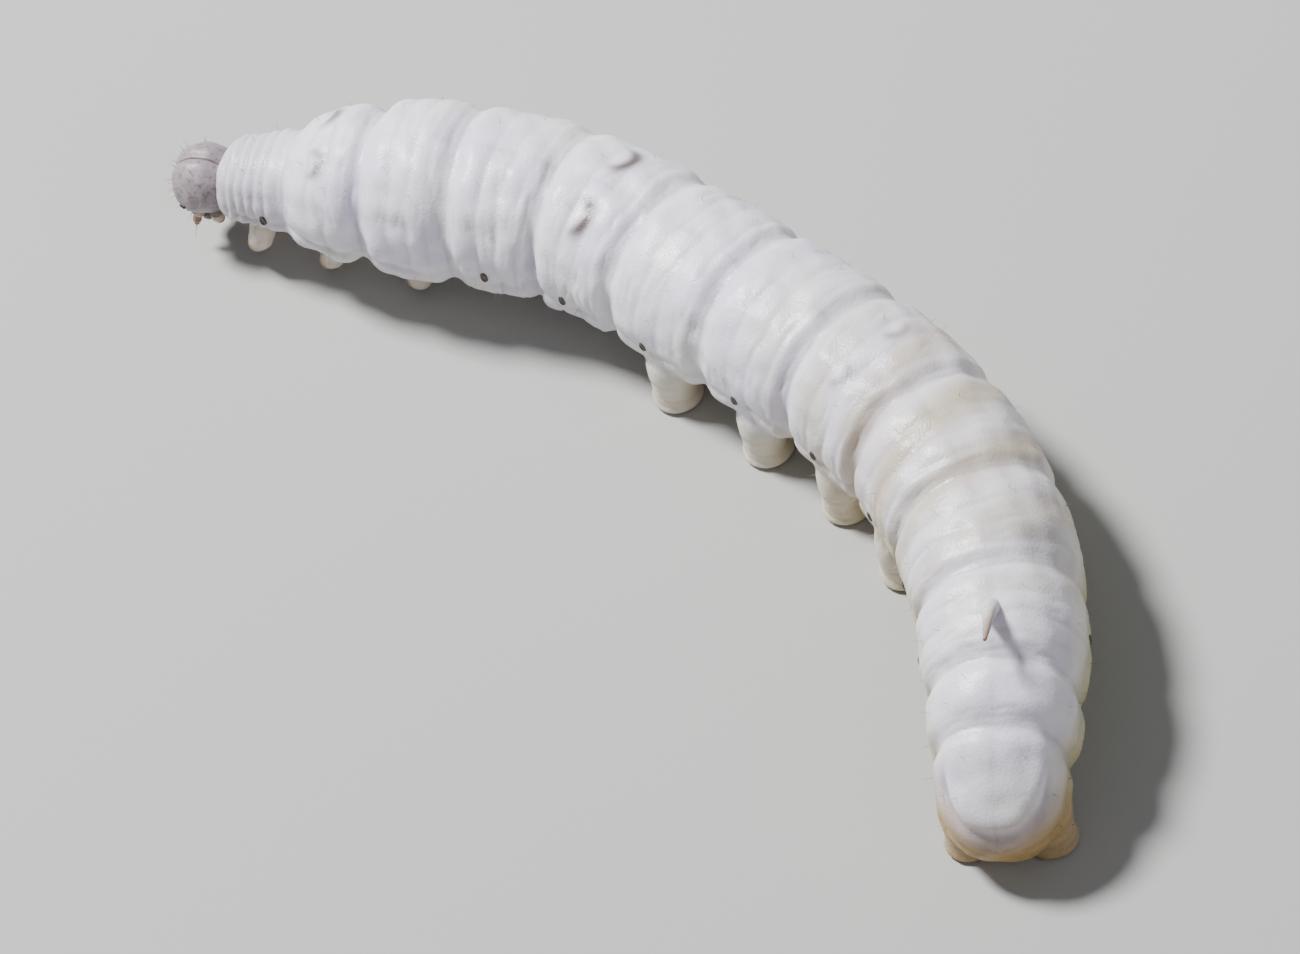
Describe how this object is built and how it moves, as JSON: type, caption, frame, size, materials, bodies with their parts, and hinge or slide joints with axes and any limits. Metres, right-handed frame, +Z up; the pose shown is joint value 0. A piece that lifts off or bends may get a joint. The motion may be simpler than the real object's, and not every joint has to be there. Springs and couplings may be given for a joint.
{
  "type": "silkworm",
  "caption": "Life-size still model of a full-grown white silkworm larva, body gently curved, standing on its prolegs with the head low.",
  "frame": {"origin": "middle of the animal's bounding box, on the floor it stands on", "axes": "+Z up; +Y away from the viewer at the picture's side, along the animal's longer extent; +X to the viewer's right. The head is towards +Y and -X, the tail towards -Y."},
  "size_m": [0.0378, 0.0552, 0.0104],
  "materials": {
    "skin": "soft waxy milk-white skin with a faint lilac-grey tint",
    "proleg": "soft cream-white skin",
    "leg": "horny cream to tan, brown at the claw",
    "horn": "pale fleshy horn, darker at its tip",
    "head": "greyish tan horn, mottled",
    "eye": "glossy near-black beads",
    "jaw": "dark brown horn",
    "palp": "pale cream horn"
  },
  "bodies": {
    "root": {"abdomen_1": "skin", "abdomen_10": "skin", "abdomen_2": "skin", "abdomen_3": "skin", "abdomen_4": "skin", "abdomen_5": "skin", "abdomen_6": "skin", "abdomen_7": "skin", "abdomen_8": "skin", "abdomen_9": "skin", "anal_plate": "skin", "antenna_left": "palp", "antenna_right": "palp", "caudal_horn": "horn", "clasper_left": "proleg", "clasper_right": "proleg", "eye_left": "eye", "eye_right": "eye", "head": "head", "labium": "palp", "labrum": "jaw", "leg_1_left": "leg", "leg_1_right": "leg", "leg_2_left": "leg", "leg_2_right": "leg", "leg_3_left": "leg", "leg_3_right": "leg", "mandible_left": "jaw", "mandible_right": "jaw", "maxilla_left": "palp", "maxilla_right": "palp", "proleg_3_left": "proleg", "proleg_3_right": "proleg", "proleg_4_left": "proleg", "proleg_4_right": "proleg", "proleg_5_left": "proleg", "proleg_5_right": "proleg", "proleg_6_left": "proleg", "proleg_6_right": "proleg", "thorax_1": "skin", "thorax_2": "skin", "thorax_3": "skin"}
  },
  "joints": []
}
